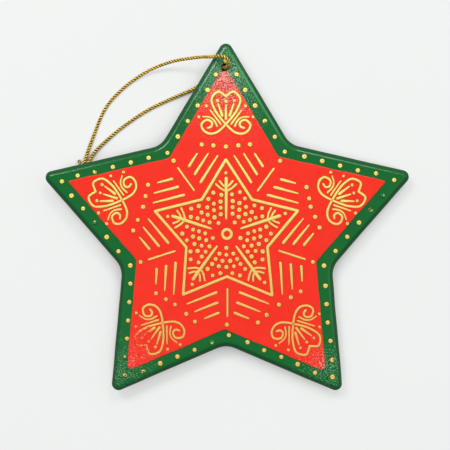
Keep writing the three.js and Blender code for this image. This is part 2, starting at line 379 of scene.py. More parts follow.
def loft(bm, rings):
    """Joins closed rings of points by quads, and returns their vertices."""
    made = [[bm.verts.new(point) for point in ring] for ring in rings]
    for lower, upper in zip(made, made[1:]):
        for i in range(len(lower)):
            j = (i + 1) % len(lower)
            bm.faces.new((lower[i], lower[j], upper[j], upper[i]))
    return made


def ring_edges(bm, ring):
    """The edges round a closed ring of vertices."""
    return [bm.edges.get((ring[i - 1], ring[i])) for i in range(len(ring))]


def fill(bm, *rings):
    """Closes a flat face between an outline and the openings in it."""
    edges = [edge for ring in rings for edge in ring_edges(bm, ring)]
    bmesh.ops.triangle_fill(bm, use_beauty=True, edges=edges)


def outline_ring(outline, inset, height):
    """The points of an outline moved inwards, at a height."""
    return [(*(point + inward * inset), height) for point, inward in outline]


def finish_mesh(name, bm):
    """A smooth mesh with its faces outwards."""
    bmesh.ops.recalc_face_normals(bm, faces=bm.faces)
    mesh = bpy.data.meshes.new(name)
    bm.to_mesh(mesh)
    bm.free()
    mesh.shade_smooth()
    return mesh


def outwards(mesh):
    """Turns every closed shell of a mesh to face outwards."""
    bm = bmesh.new()
    bm.from_mesh(mesh)
    bmesh.ops.recalc_face_normals(bm, faces=bm.faces)
    bm.to_mesh(mesh)
    bm.free()


def put_in_scene(name, data):
    """A new object in the scene."""
    made = bpy.data.objects.new(name, data)
    bpy.context.scene.collection.objects.link(made)
    return made


def add_piece(name, mesh, replaced=()):
    """Puts a finished mesh in the scene as a piece that rides on the board."""
    piece = put_in_scene(name, mesh)
    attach(piece, BODY)
    if replaced:
        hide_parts(*replaced)
    return piece


def nodes_named(start):
    """CAD nodes whose names begin so."""
    return [name for name in sorted(frame["nodes"]) if name.startswith(start)]


# Geometry Nodes


def new_tree(name, inputs):
    """An empty tree with named inputs, its wiring, and its input and output nodes."""
    tree = bpy.data.node_groups.new(name, "GeometryNodeTree")
    tree.interface.new_socket("Geometry", in_out="INPUT", socket_type="NodeSocketGeometry")
    for label, kind, default in inputs:
        socket = tree.interface.new_socket(
            label, in_out="INPUT", socket_type="NodeSocket" + kind)
        if default is not None:
            socket.default_value = default
    tree.interface.new_socket("Geometry", in_out="OUTPUT", socket_type="NodeSocketGeometry")
    wiring = Wiring(tree)
    return wiring, wiring.add("NodeGroupInput").outputs, wiring.add("NodeGroupOutput")


def grown(name, host_mesh, tree, values):
    """The plain mesh that a tree makes from a host mesh."""
    host = put_in_scene(name, host_mesh)
    modifier = host.modifiers.new(tree.name, "NODES")
    modifier.node_group = tree
    for item in tree.interface.items_tree:
        if item.in_out == "INPUT" and item.name in values:
            modifier[item.identifier] = values[item.name]
    evaluated = host.evaluated_get(bpy.context.evaluated_depsgraph_get())
    mesh = bpy.data.meshes.new_from_object(evaluated)
    host.modifiers.remove(modifier)
    bpy.data.objects.remove(host)
    if not mesh.polygons:
        raise RuntimeError(f"{name}: the node tree made no faces")
    mesh.name = name
    return mesh


def finish_tree(wiring, geometry, material, out):
    """Ends a tree: real geometry, smooth, with its material."""
    real = wiring.add("GeometryNodeRealizeInstances", {"Geometry": geometry})
    smooth = wiring.add("GeometryNodeSetShadeSmooth", {"Geometry": real.outputs[0]})
    painted = wiring.add(
        "GeometryNodeSetMaterial", {"Geometry": smooth.outputs[0], "Material": material})
    wiring.tree.links.new(painted.outputs[0], out.inputs[0])


def stored(wiring, geometry, name, value):
    """A geometry whose points each keep a named number."""
    return wiring.add("GeometryNodeStoreNamedAttribute", {
        "Geometry": geometry, "Name": name, "Value": value},
        data_type="FLOAT", domain="POINT").outputs[0]


def kept(wiring, name):
    """The named number that each point keeps."""
    return wiring.add(
        "GeometryNodeInputNamedAttribute", {"Name": name}, data_type="FLOAT").outputs[0]


def turned_copies(wiring, geometry, count, shifts):
    """Copies of a geometry turned about the star's centre, each set off a little."""
    points = wiring.add("GeometryNodeMeshLine", {"Count": count, "Offset": (0, 0, 0)})
    index = wiring.add("GeometryNodeInputIndex").outputs[0]
    shift = wiring.add("GeometryNodeIndexSwitch", {"Index": index}, data_type="VECTOR")
    while len(shift.index_switch_items) < len(shifts):
        shift.index_switch_items.new()
    for i, value in enumerate(shifts):
        wiring.tree.links.new(value, shift.inputs[i + 1])
    placed = wiring.add("GeometryNodeSetPosition", {
        "Geometry": points.outputs[0], "Offset": shift.outputs[0]})
    angle = wiring.math("MULTIPLY", index, -2 * HALF_ARM)
    turn = wiring.add("ShaderNodeCombineXYZ", {"Z": angle})
    return wiring.add("GeometryNodeInstanceOnPoints", {
        "Points": placed.outputs[0], "Instance": geometry, "Rotation": turn.outputs[0]}).outputs[0]


def shift_label(arm):
    """The name of the input that sets off an arm's copy."""
    return f"Shift of arm {arm + 1}"


def line_tree():
    """Raised paint along drawn lines, repeated on every arm."""
    labels = [shift_label(arm) for arm in range(ARMS)]
    wiring, given, out = new_tree("Gold line relief", [
        ("Relief", "Float", 0.4), ("Sunk", "Float", 0.15), ("Copies", "Int", ARMS),
        *((label, "Vector", None) for label in labels), ("Material", "Material", None)])
    lines = wiring.add("GeometryNodeMeshToCurve", {"Mesh": given["Geometry"]})
    flat = wiring.add("GeometryNodeSetCurveNormal", {"Curve": lines.outputs[0]}, mode="Z_UP")
    circle = wiring.add("GeometryNodeCurvePrimitiveCircle", {
        "Resolution": LINE_SIDES, "Radius": 1.0})
    # the section is that circle pressed flat, with a level crest and a sunk underside
    place = wiring.add("ShaderNodeSeparateXYZ", {
        0: wiring.add("GeometryNodeInputPosition").outputs[0]})
    side = wiring.math("MULTIPLY", place.outputs[0], wiring.math("ABSOLUTE", place.outputs[0]))
    crest = wiring.math("MAXIMUM", wiring.math("MULTIPLY", place.outputs[1], 2.0), -1.0)
    raised = wiring.math("MULTIPLY", wiring.math("MINIMUM", crest, 0.0), given["Relief"])
    sunk = wiring.math("MULTIPLY", wiring.math("MAXIMUM", place.outputs[1], 0.0), given["Sunk"])
    section = wiring.add("ShaderNodeCombineXYZ", {
        "X": side, "Y": wiring.math("ADD", raised, sunk)})
    marked = stored(wiring, circle.outputs[0], "across", wiring.math("ABSOLUTE", side))
    profile = wiring.add("GeometryNodeSetPosition", {
        "Geometry": marked, "Position": section.outputs[0]})
    swept = wiring.add("GeometryNodeCurveToMesh", {
        "Curve": flat.outputs[0], "Profile Curve": profile.outputs[0],
        "Scale": kept(wiring, "half_width"), "Fill Caps": True})
    copies = turned_copies(
        wiring, swept.outputs[0], given["Copies"], [given[label] for label in labels])
    finish_tree(wiring, copies, given["Material"], out)
    return wiring.tree


def spot_tree():
    """Drops of paint at marked points, each a little different."""
    wiring, given, out = new_tree("Gold dots", [
        ("Drop", "Object", None), ("Relief", "Float", 0.36), ("Uneven", "Float", 0.08),
        ("Seed", "Int", 3), ("Material", "Material", None)])
    drop = wiring.add("GeometryNodeObjectInfo", {"Object": given["Drop"], "As Instance": True})
    least = wiring.math("SUBTRACT", 1.0, given["Uneven"])
    most = wiring.math("ADD", 1.0, given["Uneven"])
    vary = wiring.add("FunctionNodeRandomValue", {2: least, 3: most, "Seed": given["Seed"]})
    size = wiring.math("MULTIPLY", kept(wiring, "spot_radius"), vary.outputs[1])
    scale = wiring.add("ShaderNodeCombineXYZ", {
        "X": size, "Y": size, "Z": wiring.math("MULTIPLY", size, given["Relief"])})
    turn = wiring.add("FunctionNodeRandomValue", {
        2: 0.0, 3: 2 * math.pi, "Seed": given["Seed"]})
    spin = wiring.add("ShaderNodeCombineXYZ", {"Z": turn.outputs[1]})
    drops = wiring.add("GeometryNodeInstanceOnPoints", {
        "Points": given["Geometry"], "Instance": drop.outputs["Geometry"],
        "Rotation": spin.outputs[0], "Scale": scale.outputs[0]})
    finish_tree(wiring, drops.outputs[0], given["Material"], out)
    return wiring.tree


def cord_tree():
    """Foil threads twisted round a dark core along a path."""
    wiring, given, out = new_tree("Twisted cord", [
        ("Diameter", "Float", 0.0009), ("Plies", "Int", 3), ("Lay", "Float", 0.0025),
        ("Ply radius", "Float", 0.00017), ("Core radius", "Float", 0.0003),
        ("Material", "Material", None)])
    path = wiring.add("GeometryNodeMeshToCurve", {"Mesh": given["Geometry"]}).outputs[0]

    def tube(curve, radius, thread):
        """A round thread along a curve, marked as foil or core."""
        circle = wiring.add("GeometryNodeCurvePrimitiveCircle", {
            "Resolution": TUBE_SIDES, "Radius": radius})
        mesh = wiring.add("GeometryNodeCurveToMesh", {
            "Curve": curve, "Profile Curve": circle.outputs[0], "Fill Caps": True})
        return stored(wiring, mesh.outputs[0], "thread", thread)

    plies = wiring.add("GeometryNodeDuplicateElements", {
        "Geometry": path, "Amount": given["Plies"]}, domain="SPLINE")
    length = wiring.add("GeometryNodeSplineParameter").outputs["Length"]
    marked = stored(wiring, plies.outputs[0], "along", length)
    turns = wiring.math("DIVIDE", length, given["Lay"])
    share = wiring.math("DIVIDE", plies.outputs[1], given["Plies"])
    angle = wiring.math("MULTIPLY", wiring.math("ADD", turns, share), 2 * math.pi)
    normal = wiring.add("GeometryNodeInputNormal").outputs["Normal"]
    tangent = wiring.add("GeometryNodeInputTangent").outputs[0]
    out_from_core = wiring.add("ShaderNodeVectorRotate", {
        "Vector": normal, "Axis": tangent, "Angle": angle}, rotation_type="AXIS_ANGLE")
    reach = wiring.math("SUBTRACT", wiring.math("MULTIPLY", given["Diameter"], 0.5),
                        given["Ply radius"])
    offset = wiring.add("ShaderNodeVectorMath", {
        0: out_from_core.outputs[0], "Scale": reach}, operation="SCALE")
    twisted = wiring.add("GeometryNodeSetPosition", {
        "Geometry": marked, "Offset": offset.outputs[0]})
    joined = wiring.add("GeometryNodeJoinGeometry")
    for geometry in (tube(twisted.outputs[0], given["Ply radius"], 0.0),
                     tube(path, given["Core radius"], 1.0)):
        wiring.tree.links.new(geometry, joined.inputs[0])
    finish_tree(wiring, joined.outputs[0], given["Material"], out)
    return wiring.tree


# Drawn lines


def smooth_path(points, step):
    """Evenly spaced points on a smooth centripetal curve through the given ones."""
    padded = [points[0] * 2 - points[1], *points, points[-1] * 2 - points[-2]]
    fine = [points[0]]
    for i in range(len(points) - 1):
        p0, p1, p2, p3 = padded[i:i + 4]
        k1 = (p1 - p0).length ** 0.5
        k2 = k1 + (p2 - p1).length ** 0.5
        k3 = k2 + (p3 - p2).length ** 0.5
        count = max(LEAST_STEPS, math.ceil((p2 - p1).length / step * CURVE_FINENESS))
        for n in range(1, count + 1):
            t = k1 + (k2 - k1) * n / count
            a1 = p0.lerp(p1, t / k1)
            a2 = p1.lerp(p2, (t - k1) / (k2 - k1))
            a3 = p2.lerp(p3, (t - k2) / (k3 - k2))
            b1 = a1.lerp(a2, t / k2)
            b2 = a2.lerp(a3, (t - k1) / (k3 - k1))
            fine.append(b1.lerp(b2, (t - k1) / (k2 - k1)))
    return even_path(fine, step)


def running_lengths(points):
    """How far along a polyline each of its points is."""
    lengths = [0.0]
    for a, b in zip(points, points[1:]):
        lengths.append(lengths[-1] + (b - a).length)
    return lengths


def even_path(points, step):
    """Points a step apart, as near as fits, along a polyline."""
    lengths = running_lengths(points)
    count = max(1, round(lengths[-1] / step))
    return [point_along(points, lengths, lengths[-1] * i / count) for i in range(count + 1)]


def point_along(points, lengths, distance):
    """The point at a distance along a polyline."""
    for i in range(len(points) - 2, -1, -1):
        if distance >= lengths[i]:
            span = lengths[i + 1] - lengths[i]
            return points[i].lerp(points[i + 1], (distance - lengths[i]) / span if span else 0)
    return points[0].copy()


def drawn_line(points, start_width, end_width=None, swell=1.0):
    """A line of paint with round ends: points and half widths, in millimetres."""
    end_width = start_width if end_width is None else end_width
    points = [Vector(p) for p in points]
    path = smooth_path(points, LINE_STEP) if len(points) > 2 else even_path(points, LINE_STEP)
    first = (path[0] - path[1]).normalized() * start_width / 2
    last = (path[-1] - path[-2]).normalized() * end_width / 2
    path = [path[0] + first, *path, path[-1] + last]
    lengths = running_lengths(path)
    total = lengths[-1]
    places = [start_width / 2 * share for share in LINE_END]
    places += [d for d in lengths[1:-1] if start_width / 2 <= d <= total - end_width / 2]
    places += [total - end_width / 2 * share for share in reversed(LINE_END)]
    line = []
    for distance in places:
        half = (start_width + (end_width - start_width) * (distance / total) ** swell) / 2
        near = min(distance, total - distance)
        if near < half:
            half *= math.sqrt(max(LEAST_END, 1 - (1 - near / half) ** 2))
        line.append((point_along(path, lengths, distance), half))
    return line


def both_sides(points):
    """The points of a line and those of its mirror image."""
    return [points, [(-x, y) for x, y in points]]


def left_and_right(value):
    """A value and its opposite, or nought alone."""
    return (value, -value) if value else (value,)


def line_mesh(name, lines, height):
    """A host mesh whose edges are drawn lines, with their half widths."""
    verts, edges, widths = [], [], []
    for line in lines:
        for i, (point, half) in enumerate(line):
            if i:
                edges.append((len(verts) - 1, len(verts)))
            verts.append((point.x * MM, point.y * MM, height * MM))
            widths.append(half * MM)
    mesh = bpy.data.meshes.new(name)
    mesh.from_pydata(verts, edges, [])
    mesh.attributes.new("half_width", "FLOAT", "POINT").data.foreach_set("value", widths)
    return mesh


def path_mesh(name, points):
    """A host mesh whose edges join points in order."""
    mesh = bpy.data.meshes.new(name)
    mesh.from_pydata(points, [(i, i + 1) for i in range(len(points) - 1)], [])
    return mesh


# Pattern, in millimetres from the star's centre, on the arm with the hole

STAR_LINE_TIP = 20.4
STAR_LINE_VALLEY = 11.8
STAR_LINE_WIDTH = 0.95
RING_RADII = (0.75, 1.75)
# How far each edge of the board stands out, and how wide the green border is along it
BOARD_EDGES = (-0.2, 0.2, 0.15, 0.28, 0.25, 0.15, 0.0, -0.05, -0.12, 0.22)
RED_BORDERS = (4.75, 3.9, 4.4, 4.1, 3.6, 4.0, 3.8, 4.5, 4.0, 3.55)
HEART_FOOT = 30.4
HEART_LINE = 0.76
HEART = (
    (0, 7.7), (2.1, 9), (3.95, 7), (3.05, 3.95), (1.65, 1.9), (0, 0), (-1.2, -1.25),
    (-2.65, -2.3), (-4.5, -2.6), (-6.2, -1.7), (-6.75, -0.1), (-5.25, 1.2), (-3.85, 0.4),
    (-4.05, -0.65), (-4.88, -0.98),
)
# Strokes: their points, their widths at the start and the end, and how late they swell
HEART_STROKES = (
    (((2.13, 35.98), (1.09, 32.97)), 0.5, 1.05),
    (((4.32, 34.26), (1.52, 30.53)), 0.45, 0.68),
    (((6.32, 32.46), (4.46, 32.3), (3.27, 31.44), (2.49, 29.94)), 0.45, 0.68),
)
HEART_MIDDLE_STROKE = (((0, 35.68), (0, 32.1)), 0.5, 1.05)
SPRIG = (((0, 4.35), (0, 15.4)), 0.4, 1.2, 0.3)
TWIGS = (((0, 12.0), (1.5, 12.8), (2.75, 13.9)), ((0, 13.05), (1.0, 13.8), (1.75, 14.75)))
TWIG_WIDTH = 0.7
RAY = (15.1, 22.45)
RAY_WIDTH = 0.65
STROKE_PITCH = 2.55
STROKE_TOPS = (21.5, 22.1, 22.1)
STROKE_FROM_RAY = 2.9
# Widths of a side stroke at its start and its end, and how late it swells
STROKE_WIDTHS = (0.4, 1.0, 0.6)

# How far each arm's share of the pattern was set off its place: x and y
HEART_SHIFTS = ((-0.28, 0), (0.28, 0), (0.55, -0.28), (0.07, 0), (-0.07, 0))
ROW_SHIFTS = ((-0.28, -0.14), (-0.07, 0.42), (0.42, 0.35), (0.42, -0.14), (-0.14, -0.42))
# How far each next stroke on an arm's left and right side was set off: to the ray and outwards
STROKE_FANS = (
    ((0, 0), (0, 0)), ((-0.25, 0), (-0.6, -0.15)), ((0.35, 0.3), (0.6, 0.35)),
    ((0.25, 0.2), (0, 0)), ((0, 0), (0, 0)),
)
STROKE_SHIFTS = ((-0.28, 0.14), (-0.07, -0.21), (0.83, -0.56), (-0.21, -0.56), (-0.56, -0.21))
TIP_SHIFTS = ((-0.28, 0.21), (0.28, 0.14), (0.56, -0.49), (-0.14, -0.28), (-0.49, 0))
# How far the left, middle and right dots of an arm's row were set to the right
ROW_SLIDES = ((0, 0, 0), (1.55, 0.4, 0), (0, 0.35, 1.35), (0, 0.6, 0), (0, 0.45, 0))
SPRIG_SHIFTS = ((-0.21, -0.14), (-0.21, 0.21), (0, 0.14), (-0.21, 0.14), (-0.21, 0.14))
FIELD_SHIFTS = ((-0.15, 0), (0, 0.1), (-0.15, 0.1), (-0.15, 0.1), (0, -0.15))
RAY_SHIFTS = ((-0.28, -0.14), (0.21, 0), (0.14, -0.21), (-0.14, -0.07), (-0.28, 0))

# Dots of an arm: x, y and radius
ARM_SPOTS = (
    (6.65, 24.93, 0.66), (3.46, 24.65, 0.66), (0, 24.35, 0.66), (0, 17.06, 0.55),
    (2.33, 36.95, 0.5), (0, 36.73, 0.5), (5.4, 35.46, 0.48), (7.48, 32.41, 0.48),
)
# The dot in a valley: reach and radius
VALLEY_SPOT = (25.07, 0.66)
# Dots between two arms: their radius, then reach and degrees from the ray to either side
FIELD_SPOT = 0.68
FIELD_SPOTS = (
    (3.93, (0,)), (5.87, (0, 19)), (7.62, (8, 23)), (9.28, (0, 13, 25)), (11.08, (8.5, 28)),
    (12.19, (18,)),
)
# Row of dots along the border: its corners, gaps on an edge and radius
BORDER_TIP = 48.5
BORDER_VALLEY = 27.98
BORDER_GAPS = 6
BORDER_SPOT = 0.7
# How far each edge's row of border dots was set off its place: x and y
BORDER_SHIFTS = (
    (-0.43, 0), (0.1, 0.15), (0.3, 0), (0.44, -0.62), (0.83, -0.47), (0.56, -0.31), (0.24, 0.05),
    (-0.1, -0.05), (-0.24, -0.29), (0.14, 0),
)
# Dots of the border that stray from their row, counted clockwise from the hole: x and y
STRAY_SPOTS = {
    0: (0.08, -0.5), 1: (0.35, -0.05), 6: (-0.5, 0), 11: (0.1, 0.4), 13: (0, -0.4),
    14: (0, -0.3), 18: (-0.1, 0.5), 22: (0.45, 0), 23: (0.65, -0.2), 25: (-0.1, -0.65),
    26: (-0.2, -0.15), 29: (0.15, 0.35), 30: (0, 0.25), 31: (-0.1, 0.25), 35: (0.1, -0.5),
    47: (0.05, -0.4), 48: (0.8, -0.15), 49: (0.2, 0.2), 54: (-0.15, -0.2), 59: (-0.45, -0.05),
}
# Worn dots of the border, counted clockwise from the hole, and how far each is worn
WORN_SPOTS = {
    1: 0.5, 4: 0.6, 13: 0.9, 14: 0.72, 23: 0.5, 29: 0.35, 31: 0.75, 35: 0.75, 36: 0.75,
    37: 0.85, 38: 0.6, 39: 0.4, 45: 0.85, 50: 0.6,
}

# Places of painted glare and worn grain in the lacquer, of the painted sheen along one edge, and
# where the gold is worn: x, y, reach and how far
GLINT_AND_GRAIN_PLACES = ((0, 43.5, 25, 0.33), (-29.5, -38, 18, 0.26), (27.5, -37, 14, 0.28))
PAINTED_SHEEN_PLACES = ((7.5, 43, 16, 1.2), (13.5, 33, 10, 0.8))
WORN_AWAY = ((-24.3, -29.6, 13, 0.9),)
# Colours of the painted sheen on one edge, of the painted shade round the paint's rim and of a
# dot's middle
PAINTED_SHEEN_GREEN = (0.075, 0.36, 0.14)
RIM_SHADE_BROWN = (0.28, 0.014, 0.005)
DOT_MIDDLE_GOLD = (0.72, 0.42, 0.02)

# Cord route in millimetres from the star's centre: x, y and height above the table
HOLE_FRONT = 7.605
HOLE_BACK = 1.605
ON_TABLE = 0.53
FRONT_ROUTE = (
    (-0.7, 46.1, 4.605), (-0.75, 46.1, HOLE_FRONT - 2.2), (-0.65, 46.1, HOLE_FRONT - 0.8),
    (-0.23, 46.1, HOLE_FRONT + 0.07), (0.37, 46.45, HOLE_FRONT + 0.92),
    (0.53, 47.15, HOLE_FRONT + 1.76), (0.31, 47.95, HOLE_FRONT + 2.31),
    (-0.48, 48.6, HOLE_FRONT + 2.82), (-1.76, 48.98, HOLE_FRONT + 2.78),
    (-4.2, 48.88, HOLE_FRONT + 1.35), (-7, 48.96, HOLE_FRONT - 0.1), (-10.3, 48.72, 5.9),
    (-13.8, 48.3, 4.3), (-17.4, 47.4, 2.8), (-21.1, 46, 1.6), (-24.5, 44.1, 0.85),
    (-27.6, 41.9, ON_TABLE), (-30.3, 39.5, ON_TABLE), (-32.7, 36.9, ON_TABLE),
    (-34.5, 34.1, ON_TABLE), (-35.8, 31.2, ON_TABLE), (-37, 28.1, ON_TABLE),
    (-38.3, 24.7, ON_TABLE), (-39.25, 21.9, ON_TABLE), (-39.68, 20.4, 0.8), (-39.84, 19.2, 1.05),
)
BACK_ROUTE = (
    (-0.7, 46.1, 4.605), (-0.7, 46.1, HOLE_BACK + 2), (-0.7, 46.1, HOLE_BACK + 1.12),
    (-0.94, 45.93, HOLE_BACK + 0.02), (-1.59, 45.45, HOLE_BACK - 0.78), (-2.47, 44.8, ON_TABLE),
    (-5, 43.3, ON_TABLE), (-8.9, 40.8, ON_TABLE), (-12.4, 39.2, ON_TABLE),
    (-16.3, 37.5, ON_TABLE), (-20.1, 35.7, ON_TABLE), (-23.8, 33.6, ON_TABLE),
    (-27.2, 31.3, ON_TABLE), (-30.7, 28.7, ON_TABLE), (-33.8, 26, ON_TABLE),
    (-36.4, 23.5, ON_TABLE), (-38.05, 21.3, 0.6), (-38.7, 20.1, 0.85), (-39.03, 18.97, 1.05),
)
# The knot: its centre in millimetres, its heading in radians, and the turns wrapped round it
KNOT_CENTRE = (-39.9, 17.4, 1.15)
KNOT_HEADING = 1.3
KNOT_WRAP_RADIUS = 0.64
KNOT_TURNS = 3
# Millimetres between points along a cord
CORD_STEP = 0.12
# Radii of a ply and of the core as shares of the cord's diameter
PLY_SHARE = 0.24
CORE_SHARE = 0.4


def side_strokes(fan):
    """Strokes beside one edge of the gold star, thin end first, fanned out by a little."""
    tip, valley = star_corners(STAR_LINE_TIP, STAR_LINE_VALLEY)[:2]
    along = (valley - tip).normalized()
    away = Vector((-along.y, along.x))
    ray = polar(1, HALF_ARM)
    strokes = []
    for row, top in enumerate(STROKE_TOPS):
        origin = tip + away * STROKE_PITCH * (row + 1)
        start = origin + along * (origin.y - top) / -along.y
        reach = (-cross(start, ray) - STROKE_FROM_RAY) / cross(along, ray)
        slide = (along * fan[0] + away * fan[1]) * row
        strokes.append((start + slide, start + slide + along * reach))
    return strokes


# Finishes


def lacquer(name, colour, glint_fleck):
    """Glossy lacquer over wood, with pale specks near three tips that are painted glare at two of
    them, painted shade round its rim and a painted sheen along one edge.
    """
    finish = Finish(name, Specular_IOR_Level=0.23)
    broad = finish.noise(160, 3)
    body = finish.mix(finish.span(broad, 0.3, 0.7), shade(colour, 0.95), shade(colour, 1.04))
    # dark pits and pale specks near three tips: near the top and lower-left tips they are painted
    # glare, pale glints with darker shade between them, and near the lower-right tip worn grain
    glint_and_grain = finish.near(GLINT_AND_GRAIN_PLACES)
    grit = finish.noise(3400, 1)
    pits = finish.span(finish.math("SUBTRACT", glint_and_grain, grit), -0.2, -0.04)
    pitted = finish.mix(pits, body, shade(colour, 0.42))
    specks = finish.span(finish.math("ADD", glint_and_grain, grit), 0.76, 0.94)
    grainy = finish.mix(specks, pitted, glint_fleck)
    # painted shade darkens the rim, which is also duller, and the shoulder of one edge gets a
    # painted sheen
    edge = finish.attribute("edge")
    dark = finish.span(edge, 0.0, 0.6, 0.0, 0.85)
    shaded = finish.mix(dark, grainy, shade(colour, 0.4))
    # painted sheen: a paler green band on the shoulder of the top arm's right edge
    shoulder = finish.math("MULTIPLY", finish.span(edge, 0.0, 0.04), finish.span(edge, 0.3, 0.1))
    painted_sheen = finish.math("MULTIPLY", shoulder, finish.near(PAINTED_SHEEN_PLACES))
    finish.set("Base Color", finish.mix(painted_sheen, shaded, PAINTED_SHEEN_GREEN))
    finish.set("Roughness", finish.span(edge, 0.25, 0.75, 0.13, 0.6))
    # a brushed coat isn't quite even
    skin = finish.bump(finish.noise(620, 2), 0.00002, 0.6)
    finish.set("Normal", finish.bump(finish.noise(1700, 1, 0.6), 0.00002, 1.0, skin))
    return finish.material


def hole_wall_wood(name):
    """Raw wood grain inside the drilled hole, its colour darkened to near black: painted shade in
    the hole.
    """
    finish = Finish(name, Roughness=0.85)
    grain = finish.noise(900, 4, 0.6)
    finish.set("Base Color", finish.mix(grain, (0.02, 0.012, 0.006), (0.06, 0.036, 0.018)))
    finish.set("Normal", finish.bump(grain, 0.0001, 0.6))
    return finish.material


def gold_paint(name, colour, thin, ground):
    """Gold paint: yellow towards the arm with the hole and deeper towards the others, a painted
    reflection; brown at its rim, a painted shade; worn in places.
    """
    finish = Finish(name, Metallic=0.15, Specular_IOR_Level=0.3)
    across = finish.attribute("across")
    grain = finish.noise(1500, 3, 0.6)
    # painted reflection: yellower towards the arm with the hole, where the light from above is
    # mirrored, and deeper towards the other arms
    place = finish.add("ShaderNodeSeparateXYZ", {0: finish.place})
    reflection_height = finish.math("MULTIPLY_ADD", finish.noise(60, 2), 0.03, place.outputs["Y"])
    body = finish.mix(finish.span(reflection_height, -0.02, 0.055), thin, colour)
    grainy = finish.mix(finish.span(grain, 0.4, 0.8, 0.0, 0.3), body, shade(thin, 0.75))
    # painted shade: a dark brown rim round the foot of each line and dot
    rim_shaded = finish.mix(finish.span(across, 0.68, 0.84, 0.0, 0.95), grainy, RIM_SHADE_BROWN)
    # a deeper orange round the dimple in the middle of each dot
    dot_middles = finish.mix(finish.span(across, -0.2, -0.6, 0.0, 0.8), rim_shaded, DOT_MIDDLE_GOLD)
    # the ground shows through where flakes have come off
    worn = finish.math("MAXIMUM", finish.attribute("worn"), finish.near(WORN_AWAY))
    flaking = finish.math("MULTIPLY_ADD", finish.noise(2600, 1), 3.0, finish.attribute("side"))
    bare = finish.math("GREATER_THAN", flaking, finish.span(worn, 0.0, 1.0, 3.7, 0.5))
    finish.set("Base Color", finish.mix(bare, dot_middles, ground))
    finish.set("Roughness", finish.span(grain, 0.3, 0.7, 0.34, 0.46))
    finish.set("Normal", finish.bump(grain, 0.00003, 0.6))
    return finish.material


def cord_finish(name, foil, core):
    """Metal foil wound on thread, twisted round a dark core."""
    finish = Finish(name)
    thread = finish.attribute("thread")
    # the foil's windings, as waves along the thread
    windings = finish.math("SINE", finish.math("MULTIPLY", finish.attribute("along"), 30000))
    # the foil's colour turns lighter and darker in small random patches: painted glints
    glint = finish.noise(1800, 2)
    bright = finish.mix(finish.span(glint, 0.35, 0.65), shade(foil, 0.6), shade(foil, 1.15))
    finish.set("Base Color", finish.mix(thread, bright, core))
    finish.set("Metallic", finish.span(thread, 0, 1, 0.4, 0))
    finish.set("Roughness", finish.span(thread, 0, 1, 0.3, 0.8))
    finish.set("Normal", finish.bump(windings, 0.00002, 0.5))
    return finish.material


def pale_table(name, colour):
    """A pale table on which the shadow is faint."""
    finish = Finish(name, Roughness=0.7)
    cloud = finish.noise(9, 2)
    pale = finish.mix(cloud, shade(colour, 0.985), shade(colour, 1.015))
    # it glows where it is seen or mirrored, so the shadow is faint, and is plain to other light
    ray = finish.add("ShaderNodeLightPath").outputs
    seen = finish.math("MAXIMUM", ray["Is Camera Ray"], ray["Is Glossy Ray"])
    seen = finish.math("MAXIMUM", seen, ray["Is Transmission Ray"])
    finish.set("Base Color", finish.mix(seen, pale, shade(colour, 0.28)))
    finish.set("Emission Color", pale)
    # the glow fades where ambient occlusion finds the table closed in, close round the board and
    # under the hole: painted shade there
    sky = finish.add("ShaderNodeAmbientOcclusion", {"Distance": 0.012}).outputs["AO"]
    glow = finish.span(sky, 0.1, 0.65, 0.0, 0.72)
    finish.set("Emission Strength", finish.math("MULTIPLY", seen, glow))
    return finish.material


def shared(name, make, *values):
    """A material by name, made once."""
    return bpy.data.materials.get(name) or make(name, *values)


def gold_on_red():
    """The gold paint of the red field."""
    colours = bpy.context.scene.ornament_paint
    return shared("gold_paint_on_red", gold_paint, colours.gold, colours.deep_gold, colours.red)


# Operators


